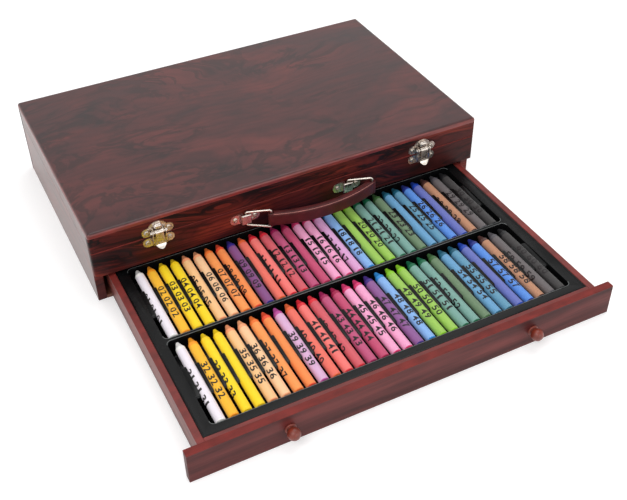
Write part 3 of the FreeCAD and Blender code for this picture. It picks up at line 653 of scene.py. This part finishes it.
def makeCradle(back):
    # The scalloped bar that holds the crayons apart across the middle of a well.
    tip = back - crayons["tipGap"]
    start, end = (tip - crayons["length"] * share for share in tray["cradle"])
    middle = (start + end) / 2 * mm
    half = tray["wellHalf"] + tray["cradleReach"]
    bar = addBlock((-half, end, tray["wellFloor"] - tray["cradleSink"]), (half, start, tray["ridgeTop"]))
    nearTop = (tray["ridgeTop"] - picking["level"]) * mm
    # The ridges fall away a little towards the drawer's front.
    for point in bar.data.vertices:
        if point.co.z > nearTop and point.co.y < middle:
            point.co.z -= tray["ridgeFall"] * mm
    nearTop -= tray["ridgeFall"] * mm
    bevelEdges(bar, lambda one, other: min(one.z, other.z) > nearTop
               and abs(one.x - other.x) > tray["longEdge"] * mm, tray["ridgeEnd"], segments=6)
    troughs = []
    for index in range(crayons["count"]):
        clearSelection()
        bpy.ops.mesh.primitive_cylinder_add(vertices=tray["scallopSides"], radius=tray["scallop"] * mm,
                                            depth=(start - end + tray["cutReach"]) * mm,
                                            rotation=(pi / 2, 0, 0),
                                            location=(crayonX(index) * mm, middle, crayons["height"] * mm))
        troughs.append(bpy.context.object)
    troughCutter = joinPieces(troughs)
    applyPlace(troughCutter)
    combine(bar, troughCutter, "DIFFERENCE")
    softenEdges(bar, tray["ridgeEdge"], segments=3, angle=40)
    return bar


trayPieces = [makeTray()] + [makeCradle(back) for front, back in tray["wells"]]
for piece in trayPieces:
    setMaterial(piece, trayPlastic)
trayPiece = joinPieces(trayPieces + [makeLip(*well) for well in tray["wells"]])
trayPiece.name = "formedTray"
cleanMesh(trayPiece, angle=40)
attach(trayPiece, "drawer")
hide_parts("crayon_tray")
print("tray made")


# Crayons: a wax stick with a turned tip in a paper wrapper that shows wax at both ends

stick = {"sides": 24, "waxRadius": 4.06, "shoulderRadius": 3.7, "shoulderRise": 0.3, "tipLength": 7.7,
         "tipRadius": 1.35, "tipRound": 0.5, "tipFace": 0.62, "buttRound": 0.35, "buttDome": 0.3,
         "wrapStart": 11.0, "wrapEnd": 0.8, "paper": 0.14, "lap": 0.05}
printing = {"start": 35.6, "startSpread": 2.0, "times": 3, "pitch": 6.0, "groupGap": 2.8, "glyphWidth": 4.9,
            "glyphHeight": 5.8, "oneWidth": 0.45, "bold": 0.02, "curveSteps": 2, "cuts": 5, "radius": 4.29,
            "rollSpread": 10.0, "rolls": {"c": -10.0, "l": -66.0, "h": 165.0}, "shade": (0.10, 0.07, 0.08)}


def addRod(radius, start, length, **settings):
    # A round length of a crayon, which runs down from the tip's end at zero.
    clearSelection()
    bpy.ops.mesh.primitive_cylinder_add(vertices=stick["sides"], radius=radius * mm, depth=length * mm,
                                        location=(0, 0, -(start + length / 2) * mm), **settings)
    rod = bpy.context.object
    applyPlace(rod)
    return rod


def makeStick():
    # Built along Z, and laid down later.
    wax = addRod(stick["waxRadius"], stick["tipLength"], crayons["length"] - stick["tipLength"])
    editFaces(wax, lambda face: looksAlong(face, 1))
    slope = stick["tipLength"] - stick["shoulderRise"] - stick["tipRound"]
    steps = [(stick["shoulderRise"], stick["waxRadius"], stick["shoulderRadius"]),
             (slope, stick["shoulderRadius"], stick["tipRadius"]),
             (stick["tipRound"], stick["tipRadius"], stick["tipRadius"] * stick["tipFace"])]
    level = -stick["tipLength"]
    for rise, before, after in steps:
        level += rise
        extrudeUp(rise)
        share = after / before
        bpy.ops.transform.resize(value=(share, share, 1), center_override=(0, 0, level * mm))
    leaveEdit()
    editFaces(wax, lambda face: looksAlong(face, -1))
    bpy.ops.mesh.inset(thickness=stick["buttRound"] * mm)
    bpy.ops.transform.translate(value=(0, 0, -stick["buttRound"] * stick["buttDome"] * mm))
    leaveEdit()
    wrapLength = crayons["length"] - stick["wrapStart"] - stick["wrapEnd"]
    paper = addRod(crayons["radius"], stick["wrapStart"], wrapLength, end_fill_type="NOTHING")
    # The wrapper's lap is a second layer over one of its sides.
    editFaces(paper, lambda face: face.index == 0)
    bpy.ops.mesh.duplicate()
    lifted = 1 + stick["lap"] / crayons["radius"]
    bpy.ops.transform.resize(value=(lifted, lifted, 1), center_override=(0, 0, 0))
    leaveEdit()
    applyModifier(paper, "SOLIDIFY", thickness=stick["paper"] * mm, offset=-1)
    setMaterial(wax, waxFinish)
    setMaterial(paper, paperFinish)
    whole = joinPieces([wax, paper])
    cleanMesh(whole, angle=32)
    return whole


def makeGlyphs():
    # Ten flat figures, cut into strips so that they can follow the round of a stick.
    glyphs = []
    for digit in range(10):
        clearSelection()
        bpy.ops.object.text_add(location=(0, 0, 0))
        text = bpy.context.object
        text.data.body = str(digit)
        text.data.resolution_u = printing["curveSteps"]
        text.data.offset = printing["bold"]
        bpy.ops.object.convert(target="MESH")
        glyph = bpy.context.object
        xs = [v.co.x for v in glyph.data.vertices]
        ys = [v.co.y for v in glyph.data.vertices]
        width = printing["glyphWidth"] * (printing["oneWidth"] if digit == 1 else 1)
        size = Matrix.Diagonal((width / (max(xs) - min(xs)) * mm,
                                printing["glyphHeight"] / (max(ys) - min(ys)) * mm, 1, 1))
        centred = Matrix.Translation((-(max(xs) + min(xs)) / 2, -(max(ys) + min(ys)) / 2, 0))
        glyph.data.transform(size @ centred)
        for cut in range(1, printing["cuts"]):
            editAll(glyph)
            level = printing["glyphHeight"] * (cut / printing["cuts"] - 0.5) * mm
            bpy.ops.mesh.bisect(plane_co=(0, level, 0), plane_no=(0, 1, 0))
            leaveEdit()
        setMaterial(glyph, inkFinish)
        glyphs.append(glyph)
    return glyphs


def printOn(number, roll, glyphs):
    # The crayon's number, three times along it, read from the tip towards the butt.
    marks = []
    along = printing["start"] + dice.uniform(-1, 1) * printing["startSpread"]
    reach = printing["radius"] * mm
    for group in range(printing["times"]):
        for figure in f"{number:02d}":
            mark = copyPiece(glyphs[int(figure)])
            for point in mark.data.vertices:
                angle = point.co.y / reach + roll
                point.co = Vector((reach * sin(angle), -reach * cos(angle), -(along * mm + point.co.x)))
            marks.append(mark)
            along += printing["pitch"]
        along += printing["groupGap"]
    return marks


# Each shade is a wrapper and its wax, in the colour family that the CAD groups it in.
shades = {
    "white": {"family": "white", "paper": (0.91, 0.88, 0.91), "wax": (0.93, 0.92, 0.91)},
    "gold": {"family": "yellow", "paper": (0.95, 0.71, 0.14), "wax": (0.95, 0.60, 0.12)},
    "yellow": {"family": "yellow", "paper": (0.95, 0.82, 0.05), "wax": (0.95, 0.80, 0.10)},
    "peach": {"family": "peach", "paper": (0.94, 0.74, 0.52), "wax": (0.94, 0.60, 0.42)},
    "cream": {"family": "peach", "paper": (0.94, 0.76, 0.58), "wax": (0.94, 0.64, 0.46)},
    "apricot": {"family": "orange", "paper": (0.94, 0.58, 0.30), "wax": (0.92, 0.45, 0.18)},
    "orange": {"family": "orange", "paper": (0.93, 0.53, 0.27), "wax": (0.90, 0.30, 0.18)},
    "plum": {"family": "purple", "paper": (0.50, 0.28, 0.50), "wax": (0.20, 0.15, 0.52)},
    "lilac": {"family": "purple", "paper": (0.83, 0.66, 0.80), "wax": (0.70, 0.28, 0.58)},
    "violet": {"family": "purple", "paper": (0.53, 0.33, 0.56), "wax": (0.26, 0.16, 0.50)},
    "coral": {"family": "red", "paper": (0.90, 0.42, 0.36), "wax": (0.88, 0.38, 0.20)},
    "salmon": {"family": "red", "paper": (0.92, 0.45, 0.43), "wax": (0.84, 0.14, 0.20)},
    "crimson": {"family": "red", "paper": (0.80, 0.34, 0.38), "wax": (0.84, 0.16, 0.22)},
    "magenta": {"family": "magenta", "paper": (0.72, 0.30, 0.46), "wax": (0.60, 0.10, 0.32)},
    "rose": {"family": "magenta", "paper": (0.74, 0.27, 0.42), "wax": (0.62, 0.10, 0.28)},
    "pink": {"family": "pink", "paper": (0.92, 0.62, 0.77), "wax": (0.82, 0.20, 0.42)},
    "mauve": {"family": "pink", "paper": (0.84, 0.62, 0.80), "wax": (0.80, 0.26, 0.52)},
    "sky": {"family": "blue", "paper": (0.50, 0.67, 0.88), "wax": (0.16, 0.52, 0.80)},
    "lime": {"family": "green", "paper": (0.58, 0.75, 0.32), "wax": (0.52, 0.76, 0.14)},
    "seafoam": {"family": "teal", "paper": (0.45, 0.62, 0.58), "wax": (0.04, 0.38, 0.25)},
    "sage": {"family": "teal", "paper": (0.40, 0.50, 0.38), "wax": (0.22, 0.38, 0.20)},
    "steel": {"family": "blue", "paper": (0.38, 0.60, 0.76), "wax": (0.10, 0.36, 0.46)},
    "slate": {"family": "blue", "paper": (0.36, 0.57, 0.68), "wax": (0.08, 0.33, 0.42)},
    "cornflower": {"family": "blue", "paper": (0.32, 0.53, 0.84), "wax": (0.12, 0.18, 0.50)},
    "iris": {"family": "blue", "paper": (0.38, 0.42, 0.70), "wax": (0.08, 0.24, 0.64)},
    "tan": {"family": "brown", "paper": (0.70, 0.50, 0.38), "wax": (0.29, 0.17, 0.15)},
    "grey": {"family": "grey", "paper": (0.38, 0.355, 0.36), "wax": (0.31, 0.30, 0.32)},
    "black": {"family": "black", "paper": (0.21, 0.20, 0.20), "wax": (0.11, 0.11, 0.12)},
}
# Each row runs from left to right, with how its crayons are rolled: centred, low or hidden print.
rows = {
    "back": {"well": 1, "rolls": "lccclcclchlcchcclchcclchcchlcc",
             "shades": ("white gold yellow yellow peach cream apricot orange plum coral salmon crimson "
                        "magenta rose pink pink mauve sky lime lime seafoam seafoam sage steel slate "
                        "cornflower iris tan grey black").split()},
    "front": {"well": 0, "rolls": "lclhcclhclclccccccccclhcchcclc",
              "shades": ("white gold yellow yellow peach cream apricot orange lilac coral salmon crimson "
                         "magenta rose pink pink violet sky lime lime seafoam seafoam sage steel slate "
                         "iris cornflower tan grey black").split()},
}


def fillPaint(piece, paints):
    layer = piece.data.color_attributes.new("paint", "FLOAT_COLOR", "CORNER")
    colors = [linear(paint) for paint in paints]
    for face in piece.data.polygons:
        for corner in face.loop_indices:
            layer.data[corner].color = colors[face.material_index]


def makeCrayons():
    template = makeStick()
    glyphs = makeGlyphs()
    families = {}
    laid = Matrix.Rotation(-pi / 2, 4, "X")
    number = 0
    for row in rows.values():
        back = tray["wells"][row["well"]][1]
        for index, shadeName in enumerate(row["shades"]):
            number += 1
            shade = shades[shadeName]
            body = copyPiece(template)
            seam = dice.uniform(0, 2 * pi)
            body.data.transform(Matrix.Rotation(seam, 4, "Z"))
            spread = printing["rollSpread"]
            roll = radians(printing["rolls"][row["rolls"][index]] + dice.uniform(-spread, spread))
            whole = joinPieces([body] + printOn(number, roll, glyphs))
            drift = crayons["drift"] * (index / (crayons["count"] - 1) - 0.5)
            tip = Vector((crayonX(index), back - crayons["tipGap"] - drift, crayons["height"])) * mm
            whole.data.transform(Matrix.Translation(tip) @ laid)
            fillPaint(whole, (shade["wax"], shade["paper"], printing["shade"]))
            families.setdefault(shade["family"], []).append(whole)
    for family, members in families.items():
        group = joinPieces(members)
        group.name = f"crayons{family.title()}"
        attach(group, "drawer")
        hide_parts(f"crayons_{family}")
    for spare in [template] + glyphs:
        bpy.data.objects.remove(spare)


makeCrayons()
print("crayons made")


# The strap of the carry handle: a crowned band between two folded eyes

strap = {"centre": (20.49, -131.84, 45.7), "halfLength": 51.6, "front": 3.1, "thickness": 7.0,
         "halfHeight": 6.55, "bow": 10.2, "steps": 36, "round": 1.6, "crown": 0.3,
         "crownCuts": (-0.5, 0, 0.5), "eyeOuter": 3.1, "eyeInner": 1.35, "eyeRound": 0.5, "eyeSteps": 28,
         "highlightRadius": 0.18, "highlightSides": 8, "highlightIn": 0.3}


def makeSection(wide, corner, segments):
    # A flat section as tall as the strap, which is swept about an upright axis later.
    clearSelection()
    bpy.ops.mesh.primitive_plane_add(size=1)
    section = bpy.context.object
    section.scale = (wide * mm, 2 * strap["halfHeight"] * mm, 1)
    applyPlace(section)
    editAll(section)
    bpy.ops.mesh.bevel(offset=corner * mm, segments=segments, affect="VERTICES")
    leaveEdit()
    return section


def standSection(section, place, out):
    # Section X goes out from the axis, and section Y goes up.
    turned = Matrix((out, up, out.cross(up))).transposed().to_4x4()
    section.data.transform(Matrix.Translation(place) @ turned)


def sweepSection(section, steps, turn, axis):
    editAll(section)
    bpy.ops.mesh.spin(steps=steps, angle=turn, center=axis, axis=(0, 0, 1))
    leaveEdit()


def findBow():
    # The bow's radius, its half angle, its axis, and the way out from the axis at its left end.
    half, bow = strap["halfLength"], strap["bow"]
    radius = (half * half + bow * bow) / (2 * bow)
    turn = asin(half / radius)
    axis = Vector(strap["centre"]) * mm + Vector((0, (radius - strap["front"] - bow) * mm, 0))
    return radius, turn, axis, Vector((-sin(turn), -cos(turn), 0))


def makeBand():
    radius, turn, axis, out = findBow()
    deep, tall = strap["thickness"], strap["halfHeight"]
    section = makeSection(deep, strap["round"], segments=3)
    # The outer side is crowned: cut across, and pushed out at the middle.
    for share in strap["crownCuts"]:
        editAll(section)
        bpy.ops.mesh.bisect(plane_co=(0, share * tall * mm, 0), plane_no=(0, 1, 0))
        leaveEdit()
    for point in section.data.vertices:
        share = point.co.y / (tall * mm)
        if point.co.x > 0:
            point.co.x -= strap["crown"] * mm * share * share
    standSection(section, axis + out * (radius - deep / 2) * mm, out)
    sweepSection(section, strap["steps"], -2 * turn, axis)
    return section


def makeEye(side):
    centre = Vector(strap["centre"]) * mm + Vector((side * strap["halfLength"] * mm, 0, 0))
    middle = (strap["eyeOuter"] + strap["eyeInner"]) / 2
    section = makeSection(strap["eyeOuter"] - strap["eyeInner"], strap["eyeRound"], segments=2)
    standSection(section, centre + Vector((middle * mm, 0, 0)), Vector((1, 0, 0)))
    editAll(section)
    bpy.ops.mesh.delete(type="ONLY_FACE")
    leaveEdit()
    sweepSection(section, strap["eyeSteps"], 2 * pi, centre)
    return section


def makeWelt():
    # A fine raised line in light pink along the upper outer edge of the band: a painted highlight on the
    # edge.
    radius, turn, axis, out = findBow()
    inset = strap["round"] * strap["highlightIn"]
    clearSelection()
    bpy.ops.mesh.primitive_circle_add(vertices=strap["highlightSides"], radius=strap["highlightRadius"] * mm,
                                      fill_type="NGON")
    section = bpy.context.object
    place = axis + out * (radius - strap["crown"] - inset) * mm + up * (strap["halfHeight"] - inset) * mm
    standSection(section, place, out)
    sweepSection(section, strap["steps"], -2 * turn, axis)
    return section


leatherPieces = [makeBand(), makeEye(-1), makeEye(1)]
for piece in leatherPieces:
    setMaterial(piece, strapLeather)
highlightLinePiece = makeWelt()
setMaterial(highlightLinePiece, strapHighlightLine)
strapPiece = joinPieces(leatherPieces + [highlightLinePiece])
strapPiece.name = "carryStrap"
cleanMesh(strapPiece, angle=50)
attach(strapPiece, "handle_strap")
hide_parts("handle_strap")
print("strap made")


# Latch flaps: a tongue that curls over the pin, a side strip on each side and a flared bill

flap = {"centreX": 132.5, "front": -119.0, "seam": 57.0, "pinOut": 3.9, "pinUp": 5.7, "curl": 2.05,
        "curlTurn": 100, "curlSteps": 8, "thickness": 0.7, "faceOut": 6.0, "wide": 6.25, "tongue": 3.7,
        "across": 8, "stripIn": 5.5, "stripOut": 1.5, "stripLow": -7.3, "stripRound": 2.2,
        "slot": (-4.2, -2.4), "slotHalf": 2.5, "slotOut": (4.0, 9.0), "slotRound": 0.55, "soften": 0.18,
        "down": ((4.9, 3.7), (4.8, 3.7), (0.5, 3.7), (-4.1, 3.7), (-4.2, 6.25), (-5.1, 6.25), (-5.3, 4.9)),
        "bill": ((6.25, -6.0, 4.7), (6.8, -6.9, 4.2), (7.5, -7.8, 3.4), (8.2, -8.6, 2.4), (8.7, -9.2, 1.3),
                 (8.85, -9.4, 0.5))}


def listLevels():
    # Each level is its reach from the case, its height over the seam and its half-width.
    levels = []
    for step in range(flap["curlSteps"] + 1):
        turn = radians(flap["curlTurn"] * (1 - step / flap["curlSteps"]))
        levels.append((flap["pinOut"] + flap["curl"] * cos(turn), flap["pinUp"] + flap["curl"] * sin(turn),
                       flap["tongue"]))
    levels += [(flap["faceOut"], level, half) for level, half in flap["down"]]
    return levels + list(flap["bill"])


def makeFlap(side):
    levels = listLevels()
    middle, front, seam = side * flap["centreX"], flap["front"], flap["seam"]
    clearSelection()
    bpy.ops.mesh.primitive_grid_add(x_subdivisions=flap["across"], y_subdivisions=len(levels) - 1, size=2)
    sheet = bpy.context.object
    for point in sheet.data.vertices:
        out, level, half = levels[round((1 - point.co.y) / 2 * (len(levels) - 1))]
        point.co = Vector((middle + point.co.x * half, front - out, seam + level)) * mm
    applyModifier(sheet, "SOLIDIFY", thickness=flap["thickness"] * mm, offset=0)
    (low, high), (near, far) = flap["slot"], flap["slotOut"]
    slot = addBlock((middle - flap["slotHalf"], front - far, seam + low),
                    (middle + flap["slotHalf"], front - near, seam + high))
    bevelAlong(slot, axis=1, width=flap["slotRound"], segments=4)
    combine(sheet, slot, "DIFFERENCE")
    pieces = [sheet]
    for step in (-1, 1):
        left, right = sorted(middle + step * reach for reach in (flap["stripIn"], flap["wide"]))
        strip = addBlock((left, front - flap["faceOut"] - flap["thickness"] / 2, seam + flap["stripLow"]),
                         (right, front - flap["stripOut"], seam + flap["pinUp"] + flap["curl"]))
        bevelAlong(strip, axis=0, width=flap["stripRound"], segments=6)
        pieces.append(strip)
    whole = joinPieces(pieces)
    softenEdges(whole, flap["soften"], segments=2, angle=50)
    cleanMesh(whole, angle=40)
    setMaterial(whole, nickel)
    return whole


for sideName, side in (("left", -1), ("right", 1)):
    flapPiece = makeFlap(side)
    flapPiece.name = f"latchFlap{sideName.title()}"
    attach(flapPiece, f"latch_flap_{sideName}")
    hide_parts(f"latch_{sideName}_flap")
print("latch flaps made")
